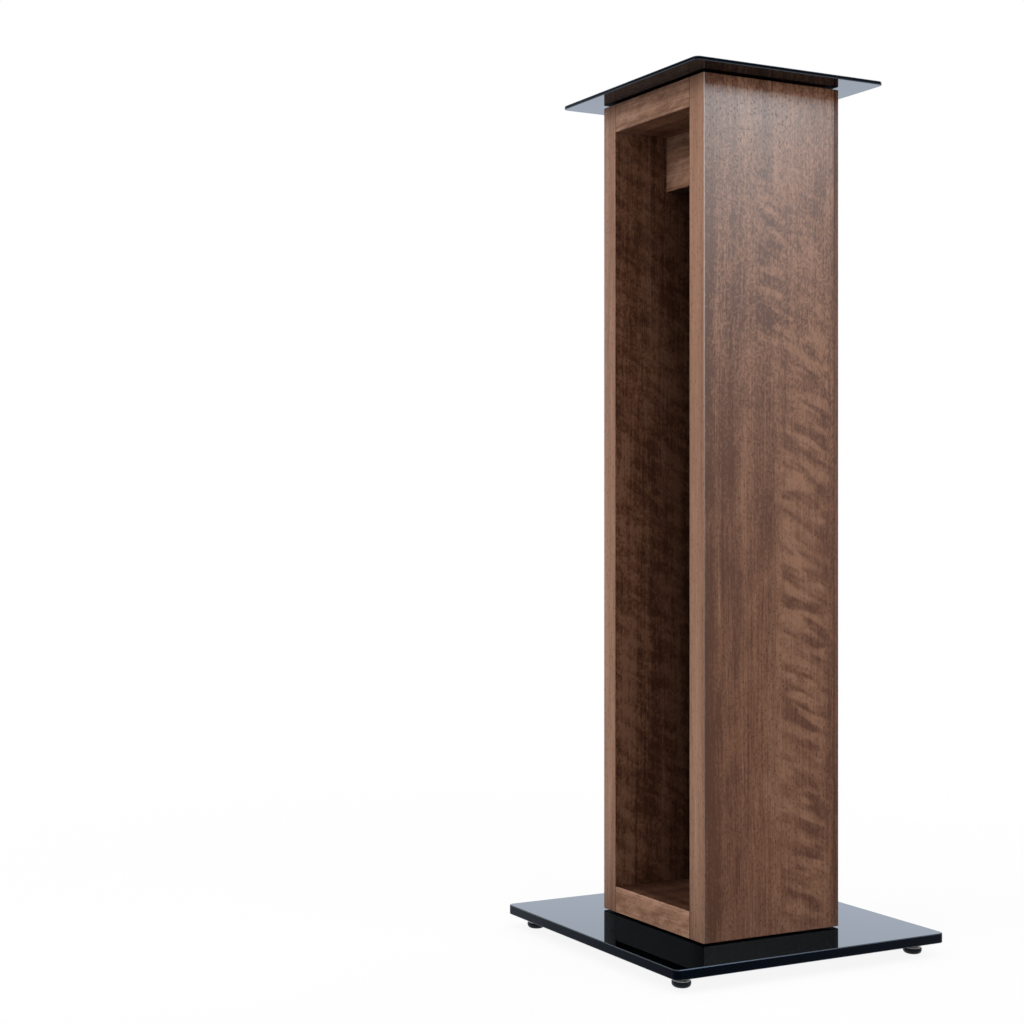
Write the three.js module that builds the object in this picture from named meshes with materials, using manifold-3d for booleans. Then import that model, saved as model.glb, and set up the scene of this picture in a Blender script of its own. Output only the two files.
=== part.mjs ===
// A speaker stand: a hollow walnut-veneered column, open at the back, between a thin top plate
// and a thick base plate of black glass, on four levelling feet.
//
// Millimetres, +Z up. The origin is on the floor under the middle of the base plate.
// The closed front faces -Y, the open back faces +Y, and left is -X.

import * as THREE from "three";
import { mergeVertices } from "three/addons/utils/BufferGeometryUtils.js";
import Module from "manifold-3d";

// Column
const COLUMN_WIDTH = 140;
const COLUMN_DEPTH = 138; // over the front panel
const COLUMN_HEIGHT = 692;
const SIDE_THICKNESS = 18;
const FRONT_THICKNESS = 5;
const TOP_BOARD_THICKNESS = 24;
const BOTTOM_BOARD_THICKNESS = 22;
const RAIL_HEIGHT = 47;
const RAIL_THICKNESS = 18;
const RAIL_SETBACK = 53; // from the open back to the rail
const WOOD_EDGE_RADIUS = 1.2; // outer upright edges
const WOOD_ARRIS = 0.4; // all other edges that show
const GLUE_LINE = 0.2; // between two glued faces

// Dowels
const DOWEL_DIAMETER = 8;
const DOWEL_IN_SIDE = 12;
const DOWEL_IN_BOARD = 18;
const DOWEL_CHAMFER = 1;
const DOWEL_END_GAP = 1; // glue space at each end of its hole
const DOWEL_INSET = 42; // from a board's front and rear faces to its dowels
const RAIL_DOWEL_INSET = 13; // from the rail's top and bottom faces to its dowels

// Top plate
const TOP_PLATE_SIZE = 190;
const TOP_PLATE_THICKNESS = 3;
const TOP_PLATE_CORNER = 5;
const BUMPER_DIAMETER = 10;
const BUMPER_THICKNESS = 1.2;
const BUMPER_CHAMFER = 0.3;
const BUMPER_INSET_FROM_END = 14; // from the column's front and rear faces

// Base plate
const BASE_PLATE_WIDTH = 245;
const BASE_PLATE_DEPTH = 268;
const BASE_PLATE_THICKNESS = 8;
const BASE_PLATE_CORNER = 5;
const GLASS_ARRIS = 0.6;

// Bolts that hold the column to the base plate
const BOLT_DIAMETER = 5;
const BOLT_HEAD_DIAMETER = 9.5;
const BOLT_HEAD_HEIGHT = 2.8;
const BOLT_HEAD_ROUND = 2.2;
const BOLT_SOCKET_ACROSS_CORNERS = 3.5;
const BOLT_SOCKET_DEPTH = 1.6;
const BOLT_ENGAGEMENT = 9; // length of bolt inside its insert
const BOLT_INSET_SIDE = 16; // from the inner face of each side panel
const BOLT_INSET_END = 22; // from the bottom board's front and rear faces
const WASHER_DIAMETER = 14;
const WASHER_THICKNESS = 1.2;
const BUSH_WALL = 1.5;
const BUSH_FLANGE_THICKNESS = 1;
const BUSH_FLANGE_DIAMETER = 15;
const SPACER_DIAMETER = 18;
const SPACER_THICKNESS = 1;
const INSERT_DIAMETER = 8;
const INSERT_LENGTH = 12;
const INSERT_HOLE_EXTRA = 1.5; // hole left past the insert

// Feet
const FOOT_INSET = 18; // from the base plate's edges to a foot's axis
const BOSS_DIAMETER = 13;
const BOSS_HEIGHT = 4;
const FOOT_GAP = 0.3; // between boss and cap with the foot screwed right in
const STUD_DIAMETER = 6;
const STUD_IN_PAD = 2.5;
const CAP_RIM_DIAMETER = 13.8;
const CAP_CROWN_DIAMETER = 9;
const CAP_RIM_THICKNESS = 0.5;
const CAP_HEIGHT = 1.3;
const PAD_DIAMETER = 15;
const PAD_HEIGHT = 4.9;
const PAD_SOLE_RADIUS = 3.2; // round lower edge
const PAD_TOP_RADIUS = 0.5;
const HARDWARE_CHAMFER = 0.4; // on shanks and on the boss

// Fits
const SEAT_GAP = 0.05; // between faces that rest on each other
const HOLE_CLEARANCE = 0.3; // all round a pin, sleeve or dowel in its hole
const THREAD_CLEARANCE = 0.15; // all round a plain shank that stands for a thread
const CUT_PAST = 1; // how far a through hole's cutter runs past each face

// Facets
const SHOWN_SEGMENTS = 20; // round pieces that can be seen
const HIDDEN_SEGMENTS = 16;
const DOWEL_SEGMENTS = 12;
const CORNER_SEGMENTS = 5;
const EDGE_SEGMENTS = 3;

// Places that follow from the sizes above
const FRONT_FACE_Y = -COLUMN_DEPTH / 2;
const REAR_FACE_Y = COLUMN_DEPTH / 2;
const CARCASS_FRONT_Y = FRONT_FACE_Y + FRONT_THICKNESS + GLUE_LINE;
const SIDE_INNER_X = COLUMN_WIDTH / 2 - SIDE_THICKNESS;
const BOARD_HALF_WIDTH = SIDE_INNER_X - GLUE_LINE;

const PLATE_UNDERSIDE_Z = PAD_HEIGHT + CAP_HEIGHT + FOOT_GAP + BOSS_HEIGHT;
const PLATE_TOP_Z = PLATE_UNDERSIDE_Z + BASE_PLATE_THICKNESS;
const COLUMN_BOTTOM_Z = PLATE_TOP_Z + SPACER_THICKNESS;
const COLUMN_TOP_Z = COLUMN_BOTTOM_Z + COLUMN_HEIGHT;
const TOP_PLATE_Z = COLUMN_TOP_Z + BUMPER_THICKNESS;

const BOLT_X = SIDE_INNER_X - BOLT_INSET_SIDE;
const BOLT_FRONT_Y = CARCASS_FRONT_Y + BOLT_INSET_END;
const BOLT_REAR_Y = REAR_FACE_Y - BOLT_INSET_END;
const BOLT_HOLE_RADIUS = BOLT_DIAMETER / 2 + THREAD_CLEARANCE;
const BUSH_RADIUS = BOLT_HOLE_RADIUS + BUSH_WALL;
const GLASS_HOLE_RADIUS = BUSH_RADIUS + HOLE_CLEARANCE;
const FOOT_X = BASE_PLATE_WIDTH / 2 - FOOT_INSET;
const FOOT_Y = BASE_PLATE_DEPTH / 2 - FOOT_INSET;

const wasm = await Module();
wasm.setup();

// ---------------------------------------------------------------- materials

function material(color, roughness, metalness) {
  return () => new THREE.MeshStandardMaterial({ color, roughness, metalness });
}

const walnutVeneer = material(0x6b4a36, 0.5, 0);
const walnutSolid = material(0x8a664c, 0.55, 0);
const beech = material(0xc8a878, 0.6, 0);
const blackGlass = material(0x07090c, 0.04, 0);
const blackRubber = material(0x0c0c0d, 0.6, 0);
const nylon = material(0xd8d6cc, 0.5, 0);
const steel = material(0x9a9992, 0.3, 1);
const brass = material(0xb08d45, 0.35, 1);

// ---------------------------------------------------------------- solids

function toSolid(geometry) {
  const bare = new THREE.BufferGeometry();
  bare.setAttribute("position", geometry.getAttribute("position"));
  if (geometry.index) bare.setIndex(geometry.index);
  const merged = mergeVertices(bare, 1e-4);
  return new wasm.Manifold(
    new wasm.Mesh({
      numProp: 3,
      vertProperties: merged.attributes.position.array,
      triVerts: new Uint32Array(merged.index.array),
    }),
  );
}

function toGeometry(solid) {
  const mesh = solid.getMesh();
  const geometry = new THREE.BufferGeometry();
  geometry.setAttribute("position", new THREE.BufferAttribute(mesh.vertProperties, 3));
  geometry.setIndex(new THREE.BufferAttribute(mesh.triVerts, 1));
  geometry.computeVertexNormals();
  return geometry;
}

// The first geometry with each of the others cut out of it.
function cut(geometry, cutters) {
  const solid = cutters.reduce(
    (rest, cutter) => rest.subtract(toSolid(cutter)),
    toSolid(geometry),
  );
  return toGeometry(solid);
}

// A solid turned about Z from [radius, height] points that run from bottom to top outside.
function turned(profile, segments) {
  const points = profile.map(([radius, height]) => new THREE.Vector2(radius, height));
  return new THREE.LatheGeometry(points, segments).rotateX(Math.PI / 2);
}

// A flat ring about Z, from z = 0 up.
function ring(outerRadius, innerRadius, height) {
  const profile = [
    [innerRadius, 0],
    [outerRadius, 0],
    [outerRadius, height],
    [innerRadius, height],
    [innerRadius, 0],
  ];
  return turned(profile, HIDDEN_SEGMENTS);
}

// A round bar about Z with both ends chamfered, from z = 0 up.
function chamferedBar(radius, length, chamfer, segments) {
  const profile = [
    [0, 0],
    [radius - chamfer, 0],
    [radius, chamfer],
    [radius, length - chamfer],
    [radius - chamfer, length],
    [0, length],
  ];
  return turned(profile, segments);
}

// Points of an arc from one angle to another, both ends included.
function arc(x, y, radius, from, to, steps) {
  const points = [];
  for (let step = 0; step <= steps; step++) {
    const angle = from + ((to - from) * step) / steps;
    points.push([x + radius * Math.cos(angle), y + radius * Math.sin(angle)]);
  }
  return points;
}

// A rectangle in X and Y whose corners have radii, in the order
// left front, right front, right rear, left rear.
function cornered(x0, x1, y0, y1, radii, steps) {
  const quarter = Math.PI / 2;
  const places = [
    [x0, y0, 1, 1],
    [x1, y0, -1, 1],
    [x1, y1, -1, -1],
    [x0, y1, 1, -1],
  ];
  const outline = places.flatMap(([x, y, inX, inY], index) => {
    const radius = radii[index];
    if (radius === 0) return [[x, y]];
    const from = Math.PI + index * quarter;
    return arc(x + inX * radius, y + inY * radius, radius, from, from + quarter, steps);
  });
  return new THREE.Shape(outline.map(([x, y]) => new THREE.Vector2(x, y)));
}

// A board extruded upwards from z = 0, its top and bottom edges broken by an arris.
function extruded(shape, height, arris) {
  return new THREE.ExtrudeGeometry(shape, {
    depth: height - 2 * arris,
    bevelThickness: arris,
    bevelSize: arris,
    bevelOffset: -arris,
    bevelSegments: 1,
  }).translate(0, 0, arris);
}

// ---------------------------------------------------------------- scene graph

const stand = new THREE.Group();

function group(parent, x, y, z) {
  const made = new THREE.Group();
  made.position.set(x, y, z);
  parent.add(made);
  return made;
}

function add(parent, name, geometry, finish, x = 0, y = 0, z = 0) {
  const mesh = new THREE.Mesh(geometry, finish());
  mesh.name = name;
  mesh.position.set(x, y, z);
  parent.add(mesh);
  return mesh;
}

// The four corners of a rectangle about x = 0, with the words that name them.
function corners(x, frontY, rearY) {
  return [
    { where: "front_left", x: -x, y: frontY },
    { where: "front_right", x, y: frontY },
    { where: "rear_left", x: -x, y: rearY },
    { where: "rear_right", x, y: rearY },
  ];
}

// ---------------------------------------------------------------- column

const column = group(stand, 0, 0, COLUMN_BOTTOM_Z);

const BOARD_FRONT_DOWEL_Y = CARCASS_FRONT_Y + DOWEL_INSET;
const BOARD_REAR_DOWEL_Y = REAR_FACE_Y - DOWEL_INSET;
const RAIL_REAR_Y = REAR_FACE_Y - RAIL_SETBACK;
const RAIL_TOP_Z = COLUMN_HEIGHT - TOP_BOARD_THICKNESS - GLUE_LINE;
const RAIL_BOTTOM_Z = RAIL_TOP_Z - RAIL_HEIGHT;

// Where the dowels stand: the board they are in, and their height and depth in the column.
function dowelPlaces() {
  const boards = [
    ["dowel_bottom", BOTTOM_BOARD_THICKNESS / 2],
    ["dowel_top", COLUMN_HEIGHT - TOP_BOARD_THICKNESS / 2],
  ];
  const places = boards.flatMap(([name, z]) => [
    { name: `${name}_front`, y: BOARD_FRONT_DOWEL_Y, z },
    { name: `${name}_rear`, y: BOARD_REAR_DOWEL_Y, z },
  ]);
  const y = RAIL_REAR_Y - RAIL_THICKNESS / 2;
  places.push({ name: "dowel_rail_lower", y, z: RAIL_BOTTOM_Z + RAIL_DOWEL_INSET });
  places.push({ name: "dowel_rail_upper", y, z: RAIL_TOP_Z - RAIL_DOWEL_INSET });
  return places;
}

// One hole through the joint on the +X side, which drills the side panel and the board alike.
function dowelHole(side, { y, z }) {
  const radius = DOWEL_DIAMETER / 2 + HOLE_CLEARANCE;
  const length = DOWEL_IN_SIDE + DOWEL_IN_BOARD + 2 * DOWEL_END_GAP;
  const hole = new THREE.CylinderGeometry(radius, radius, length, DOWEL_SEGMENTS);
  const middle = SIDE_INNER_X + (DOWEL_IN_SIDE - DOWEL_IN_BOARD) / 2;
  return hole.rotateZ(Math.PI / 2).translate(side * middle, y, z);
}

function dowelHoles(sides, names) {
  const places = dowelPlaces().filter(({ name }) => names.some((start) => name.startsWith(start)));
  return sides.flatMap((side) => places.map((place) => dowelHole(side, place)));
}

function buildFrontPanel() {
  const half = COLUMN_WIDTH / 2;
  const radii = [WOOD_EDGE_RADIUS, WOOD_EDGE_RADIUS, 0, 0];
  const backY = FRONT_FACE_Y + FRONT_THICKNESS;
  const shape = cornered(-half, half, FRONT_FACE_Y, backY, radii, EDGE_SEGMENTS);
  add(column, "front_panel", extruded(shape, COLUMN_HEIGHT, WOOD_ARRIS), walnutVeneer);
}

function buildSidePanels() {
  for (const [where, side] of [["left", -1], ["right", 1]]) {
    const xs = [side * SIDE_INNER_X, (side * COLUMN_WIDTH) / 2].sort((a, b) => a - b);
    const radii = side < 0 ? [0, 0, 0, WOOD_EDGE_RADIUS] : [0, 0, WOOD_EDGE_RADIUS, 0];
    const shape = cornered(...xs, CARCASS_FRONT_Y, REAR_FACE_Y, radii, EDGE_SEGMENTS);
    const panel = extruded(shape, COLUMN_HEIGHT, WOOD_ARRIS);
    const holes = dowelHoles([side], ["dowel_"]);
    add(column, `side_panel_${where}`, cut(panel, holes), walnutVeneer);
  }
}

function boardShape(frontY, rearY) {
  const half = BOARD_HALF_WIDTH;
  return cornered(-half, half, frontY, rearY, [0, 0, 0, 0], EDGE_SEGMENTS);
}

function insertHole({ x, y }) {
  const radius = INSERT_DIAMETER / 2 + HOLE_CLEARANCE;
  const depth = INSERT_LENGTH + INSERT_HOLE_EXTRA;
  const hole = new THREE.CylinderGeometry(radius, radius, 2 * depth, HIDDEN_SEGMENTS);
  return hole.rotateX(Math.PI / 2).translate(x, y, 0);
}

function buildBoards() {
  const shape = boardShape(CARCASS_FRONT_Y, REAR_FACE_Y);
  const bottom = cut(extruded(shape, BOTTOM_BOARD_THICKNESS, WOOD_ARRIS), [
    ...dowelHoles([-1, 1], ["dowel_bottom"]),
    ...corners(BOLT_X, BOLT_FRONT_Y, BOLT_REAR_Y).map(insertHole),
  ]);
  add(column, "bottom_board", bottom, walnutSolid);

  const topZ = COLUMN_HEIGHT - TOP_BOARD_THICKNESS;
  const top = extruded(shape, TOP_BOARD_THICKNESS, WOOD_ARRIS).translate(0, 0, topZ);
  add(column, "top_board", cut(top, dowelHoles([-1, 1], ["dowel_top"])), walnutSolid);
}

function buildCrossRail() {
  const shape = boardShape(RAIL_REAR_Y - RAIL_THICKNESS, RAIL_REAR_Y);
  const rail = extruded(shape, RAIL_HEIGHT, WOOD_ARRIS).translate(0, 0, RAIL_BOTTOM_Z);
  add(column, "cross_rail", cut(rail, dowelHoles([-1, 1], ["dowel_rail"])), walnutSolid);
}

function buildDowels() {
  const length = DOWEL_IN_SIDE + DOWEL_IN_BOARD;
  const innerEnd = SIDE_INNER_X - DOWEL_IN_BOARD;
  for (const { name, y, z } of dowelPlaces()) {
    for (const [where, side] of [["left", -1], ["right", 1]]) {
      const bar = chamferedBar(DOWEL_DIAMETER / 2, length, DOWEL_CHAMFER, DOWEL_SEGMENTS);
      bar.rotateY((side * Math.PI) / 2);
      add(column, `${name}_${where}`, bar, beech, side * innerEnd, y, z);
    }
  }
}

// ---------------------------------------------------------------- top plate

function plate(width, depth, thickness, corner) {
  const radii = [corner, corner, corner, corner];
  const shape = cornered(-width / 2, width / 2, -depth / 2, depth / 2, radii, CORNER_SEGMENTS);
  return extruded(shape, thickness, GLASS_ARRIS);
}

function buildTopPlate() {
  const seat = COLUMN_TOP_Z + SEAT_GAP;
  const x = COLUMN_WIDTH / 2 - SIDE_THICKNESS / 2;
  const frontY = FRONT_FACE_Y + BUMPER_INSET_FROM_END;
  const rearY = REAR_FACE_Y - BUMPER_INSET_FROM_END;
  const height = BUMPER_THICKNESS - 2 * SEAT_GAP;
  for (const place of corners(x, frontY, rearY)) {
    const bumper = chamferedBar(BUMPER_DIAMETER / 2, height, BUMPER_CHAMFER, HIDDEN_SEGMENTS);
    add(stand, `top_bumper_${place.where}`, bumper, blackRubber, place.x, place.y, seat);
  }
  const glass = plate(TOP_PLATE_SIZE, TOP_PLATE_SIZE, TOP_PLATE_THICKNESS, TOP_PLATE_CORNER);
  add(stand, "top_plate", glass, blackGlass, 0, 0, TOP_PLATE_Z);
}

// ---------------------------------------------------------------- base plate and its bolts

const boltPlaces = corners(BOLT_X, BOLT_FRONT_Y, BOLT_REAR_Y);

function buildBasePlate() {
  const radius = GLASS_HOLE_RADIUS;
  const thickness = BASE_PLATE_THICKNESS;
  const length = thickness + 2 * CUT_PAST;
  const holes = boltPlaces.map(({ x, y }) => {
    const hole = new THREE.CylinderGeometry(radius, radius, length, HIDDEN_SEGMENTS);
    return hole.rotateX(Math.PI / 2).translate(x, y, thickness / 2);
  });
  const blank = plate(BASE_PLATE_WIDTH, BASE_PLATE_DEPTH, thickness, BASE_PLATE_CORNER);
  add(stand, "base_plate", cut(blank, holes), blackGlass, 0, 0, PLATE_UNDERSIDE_Z);
}

// A sleeve through the glass with a flange below it; z = 0 is the underside of the glass.
function bush() {
  const flange = BUSH_FLANGE_DIAMETER / 2;
  const top = BASE_PLATE_THICKNESS;
  const profile = [
    [BOLT_HOLE_RADIUS, -BUSH_FLANGE_THICKNESS],
    [flange, -BUSH_FLANGE_THICKNESS],
    [flange, -SEAT_GAP],
    [BUSH_RADIUS, -SEAT_GAP],
    [BUSH_RADIUS, top],
    [BOLT_HOLE_RADIUS, top],
    [BOLT_HOLE_RADIUS, -BUSH_FLANGE_THICKNESS],
  ];
  return turned(profile, HIDDEN_SEGMENTS);
}

// A round-headed bolt with a hexagon socket; z = 0 is the bearing face of the head.
function bolt(length) {
  const shank = BOLT_DIAMETER / 2;
  const head = BOLT_HEAD_DIAMETER / 2;
  const bottom = -BOLT_HEAD_HEIGHT;
  const socketRadius = BOLT_SOCKET_ACROSS_CORNERS / 2;
  const crown = head - BOLT_HEAD_ROUND;
  const profile = [
    [0, bottom],
    ...arc(crown, bottom + BOLT_HEAD_ROUND, BOLT_HEAD_ROUND, -Math.PI / 2, 0, EDGE_SEGMENTS),
    [head, 0],
    [shank, 0],
    [shank, length - HARDWARE_CHAMFER],
    [shank - HARDWARE_CHAMFER, length],
    [0, length],
  ];
  const socket = new THREE.CylinderGeometry(socketRadius, socketRadius, 2 * BOLT_SOCKET_DEPTH, 6);
  socket.rotateX(Math.PI / 2).translate(0, 0, bottom);
  return cut(turned(profile, HIDDEN_SEGMENTS), [socket]);
}

function buildColumnFixing({ where, x, y }) {
  const place = group(stand, x, y, PLATE_UNDERSIDE_Z);
  const hole = BOLT_HOLE_RADIUS;
  const washerTop = -BUSH_FLANGE_THICKNESS - SEAT_GAP;
  const bearingZ = washerTop - WASHER_THICKNESS - SEAT_GAP;
  const insertZ = COLUMN_BOTTOM_Z - PLATE_UNDERSIDE_Z;
  const washer = ring(WASHER_DIAMETER / 2, hole, WASHER_THICKNESS);
  const spacer = ring(SPACER_DIAMETER / 2, hole, SPACER_THICKNESS - 2 * SEAT_GAP);
  const insert = ring(INSERT_DIAMETER / 2, hole, INSERT_LENGTH);
  add(place, `base_bush_${where}`, bush(), nylon);
  add(place, `base_washer_${where}`, washer, steel, 0, 0, washerTop - WASHER_THICKNESS);
  add(place, `base_bolt_${where}`, bolt(insertZ + BOLT_ENGAGEMENT - bearingZ), steel, 0, 0, bearingZ);
  add(place, `base_spacer_${where}`, spacer, blackRubber, 0, 0, BASE_PLATE_THICKNESS + SEAT_GAP);
  add(place, `base_insert_${where}`, insert, brass, 0, 0, insertZ + SEAT_GAP);
}

// ---------------------------------------------------------------- feet

// A rubber pad with a round sole and a socket for the stud; z = 0 is the floor.
function pad() {
  const outer = PAD_DIAMETER / 2;
  const sole = PAD_SOLE_RADIUS;
  const shoulder = PAD_TOP_RADIUS;
  const socket = STUD_DIAMETER / 2 + HOLE_CLEARANCE;
  const top = PAD_HEIGHT - SEAT_GAP;
  const socketFloor = PAD_HEIGHT - STUD_IN_PAD - SEAT_GAP;
  const profile = [
    [0, 0],
    ...arc(outer - sole, sole, sole, -Math.PI / 2, 0, CORNER_SEGMENTS),
    ...arc(outer - shoulder, top - shoulder, shoulder, 0, Math.PI / 2, EDGE_SEGMENTS),
    [socket, top],
    [socket, socketFloor],
    [0, socketFloor],
  ];
  return turned(profile, SHOWN_SEGMENTS);
}

// A dished steel disc over the pad, with a hole for the stud; z = 0 is its lower face.
function cap() {
  const hole = STUD_DIAMETER / 2 + HOLE_CLEARANCE;
  const profile = [
    [hole, 0],
    [CAP_RIM_DIAMETER / 2, 0],
    [CAP_RIM_DIAMETER / 2, CAP_RIM_THICKNESS],
    [CAP_CROWN_DIAMETER / 2, CAP_HEIGHT],
    [hole, CAP_HEIGHT],
    [hole, 0],
  ];
  return turned(profile, SHOWN_SEGMENTS);
}

function boss() {
  const hole = STUD_DIAMETER / 2 + THREAD_CLEARANCE;
  const outer = BOSS_DIAMETER / 2;
  const top = BOSS_HEIGHT - SEAT_GAP;
  const profile = [
    [hole, 0],
    [outer - HARDWARE_CHAMFER, 0],
    [outer, HARDWARE_CHAMFER],
    [outer, top],
    [hole, top],
    [hole, 0],
  ];
  return turned(profile, HIDDEN_SEGMENTS);
}

function buildFoot({ where, x, y }) {
  const foot = group(stand, x, y, 0);
  const studBottom = PAD_HEIGHT - STUD_IN_PAD;
  const studLength = STUD_IN_PAD + CAP_HEIGHT + FOOT_GAP + BOSS_HEIGHT - HOLE_CLEARANCE;
  const stud = chamferedBar(STUD_DIAMETER / 2, studLength, HARDWARE_CHAMFER, HIDDEN_SEGMENTS);
  add(foot, `foot_pad_${where}`, pad(), blackRubber);
  add(foot, `foot_cap_${where}`, cap(), steel, 0, 0, PAD_HEIGHT);
  add(foot, `foot_stud_${where}`, stud, steel, 0, 0, studBottom);
  add(foot, `foot_boss_${where}`, boss(), steel, 0, 0, PLATE_UNDERSIDE_Z - BOSS_HEIGHT);
}

buildFrontPanel();
buildSidePanels();
buildBoards();
buildCrossRail();
buildDowels();
buildTopPlate();
buildBasePlate();
boltPlaces.forEach(buildColumnFixing);
corners(FOOT_X, -FOOT_Y, FOOT_Y).forEach(buildFoot);

export default stand;
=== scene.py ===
"""Looks for a speaker stand: a walnut column, open at the back, between two plates of black glass.

The scene is in metres with +Z up. The closed front faces -Y, the open back +Y, and left is -X.
Materials and feet are written in millimetres.
"""

import math

import bmesh
import bpy
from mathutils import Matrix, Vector


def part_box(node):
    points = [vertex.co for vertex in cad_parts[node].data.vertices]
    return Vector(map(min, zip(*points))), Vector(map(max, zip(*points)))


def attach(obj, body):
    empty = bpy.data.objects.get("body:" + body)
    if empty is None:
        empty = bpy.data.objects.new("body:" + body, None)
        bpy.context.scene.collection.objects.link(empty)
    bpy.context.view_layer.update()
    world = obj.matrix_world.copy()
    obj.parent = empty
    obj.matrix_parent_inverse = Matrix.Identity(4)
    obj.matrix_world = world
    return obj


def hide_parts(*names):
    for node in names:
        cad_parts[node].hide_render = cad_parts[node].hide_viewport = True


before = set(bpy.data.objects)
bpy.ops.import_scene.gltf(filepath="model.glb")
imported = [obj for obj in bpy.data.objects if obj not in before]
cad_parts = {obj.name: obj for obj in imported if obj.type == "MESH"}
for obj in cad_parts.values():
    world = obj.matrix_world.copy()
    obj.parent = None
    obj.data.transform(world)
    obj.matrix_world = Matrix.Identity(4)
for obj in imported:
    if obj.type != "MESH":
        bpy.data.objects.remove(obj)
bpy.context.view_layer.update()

CORNERS = ("front_left", "front_right", "rear_left", "rear_right")
MM = 0.001

# the column, in millimetres
HALF_WIDTH = 70.0
HALF_DEPTH = 69.0
SIDE_INNER = 52.0  # from the middle to a side panel's inner face


# ---------------------------------------------------------------- node trees


class Tree:
    """A material's node tree, written as short calls. Every call returns an output socket."""

    def __init__(self, name):
        self.material = bpy.data.materials.new(name)
        self.material.use_nodes = True
        self.nodes = self.material.node_tree.nodes
        self.links = self.material.node_tree.links
        self.nodes.clear()

    def node(self, kind, inputs=(), **settings):
        """Adds a node and returns the node itself."""
        made = self.nodes.new(kind)
        for key, value in settings.items():
            setattr(made, key, value)
        for key, value in dict(inputs).items():
            self.put(made.inputs[key], value)
        return made

    def put(self, socket, value):
        """Links a socket, or sets a constant on it."""
        if isinstance(value, bpy.types.NodeSocket):
            self.links.new(value, socket)
        else:
            socket.default_value = value

    def math(self, operation, a, b=0.0):
        return self.node("ShaderNodeMath", {0: a, 1: b}, operation=operation).outputs[0]

    def add(self, a, *more):
        for b in more:
            a = self.math("ADD", a, b)
        return a

    def mul(self, a, *more):
        for b in more:
            a = self.math("MULTIPLY", a, b)
        return a

    def sub(self, a, b):
        return self.math("SUBTRACT", a, b)

    def most(self, a, *more):
        """The greatest of the values."""
        for b in more:
            a = self.math("MAXIMUM", a, b)
        return a

    def absolute(self, value):
        return self.math("ABSOLUTE", value)

    def range(self, value, low, high, to_low=0.0, to_high=1.0, smooth=True):
        """value from low..high to to_low..to_high, clamped."""
        inputs = {
            "Value": value,
            "From Min": low,
            "From Max": high,
            "To Min": to_low,
            "To Max": to_high,
        }
        kind = "SMOOTHSTEP" if smooth else "LINEAR"
        made = self.node("ShaderNodeMapRange", inputs, interpolation_type=kind)
        return made.outputs["Result"]

    def band(self, value, low, high, soft):
        """1 between low and high, fading to 0 over soft outside them."""
        up = self.range(value, low - soft, low)
        down = self.range(value, high, high + soft, 1.0, 0.0)
        return self.mul(up, down)

    def vector(self, x, y, z):
        return self.node("ShaderNodeCombineXYZ", {0: x, 1: y, 2: z}).outputs[0]

    def split(self, vector):
        return self.node("ShaderNodeSeparateXYZ", {0: vector}).outputs

    def times(self, vector, factors):
        """A vector or colour times another, or times a socket that gives one."""
        inputs = {0: vector, 1: factors}
        return self.node("ShaderNodeVectorMath", inputs, operation="MULTIPLY").outputs[0]

    def tint(self, colour, number):
        """A colour times a number."""
        return self.times(colour, self.vector(number, number, number))

    def noise(self, vector, detail=2.0, rough=0.5, distortion=0.0):
        inputs = {
            "Vector": vector,
            "Scale": 1.0,
            "Detail": detail,
            "Roughness": rough,
            "Distortion": distortion,
        }
        return self.node("ShaderNodeTexNoise", inputs).outputs[0]

    def spots(self, place, per_mm, detail=2.0, rough=0.5):
        """Noise that is alike in every direction."""
        return self.noise(self.times(place, (per_mm, per_mm, per_mm)), detail, rough)

    def ramp(self, value, stops):
        """A colour ramp; a stop is (place, colour), and a colour may be one number."""
        made = self.node("ShaderNodeValToRGB", {0: value})
        elements = made.color_ramp.elements
        while len(elements) < len(stops):
            elements.new(0.5)
        for element, (place, colour) in zip(elements, stops):
            element.position = place
            colour = (colour, colour, colour) if isinstance(colour, float) else colour
            element.color = (*colour, 1.0)
        return made.outputs[0]

    def mix(self, factor, a, b):
        """From colour a to colour b."""
        made = self.node("ShaderNodeMix", data_type="RGBA")
        self.put(made.inputs["Factor"], factor)
        self.put(made.inputs[6], a if isinstance(a, bpy.types.NodeSocket) else (*a, 1.0))
        self.put(made.inputs[7], b if isinstance(b, bpy.types.NodeSocket) else (*b, 1.0))
        return made.outputs[2]

    def blend(self, factor, a, b):
        """From number a to number b."""
        made = self.node("ShaderNodeMix", data_type="FLOAT")
        for key, value in (("Factor", factor), (2, a), (3, b)):
            self.put(made.inputs[key], value)
        return made.outputs[0]

    def object_mm(self):
        """Object coordinates in millimetres."""
        coords = self.node("ShaderNodeTexCoord").outputs["Object"]
        return self.times(coords, (1 / MM, 1 / MM, 1 / MM))

    def normal(self):
        return self.split(self.node("ShaderNodeTexCoord").outputs["Normal"])

    def bump(self, height, depth_mm, strength):
        inputs = {"Height": height, "Distance": depth_mm * MM, "Strength": strength}
        return self.node("ShaderNodeBump", inputs).outputs[0]

    def finish(self, **inputs):
        """A Principled shader to the output. Underscores in the names stand for spaces."""
        shader = self.node("ShaderNodeBsdfPrincipled")
        for key, value in inputs.items():
            self.put(shader.inputs[key.replace("_", " ")], value)
        self.node("ShaderNodeOutputMaterial", {0: shader.outputs[0]})
        return self.material


# ---------------------------------------------------------------- wood

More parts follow.
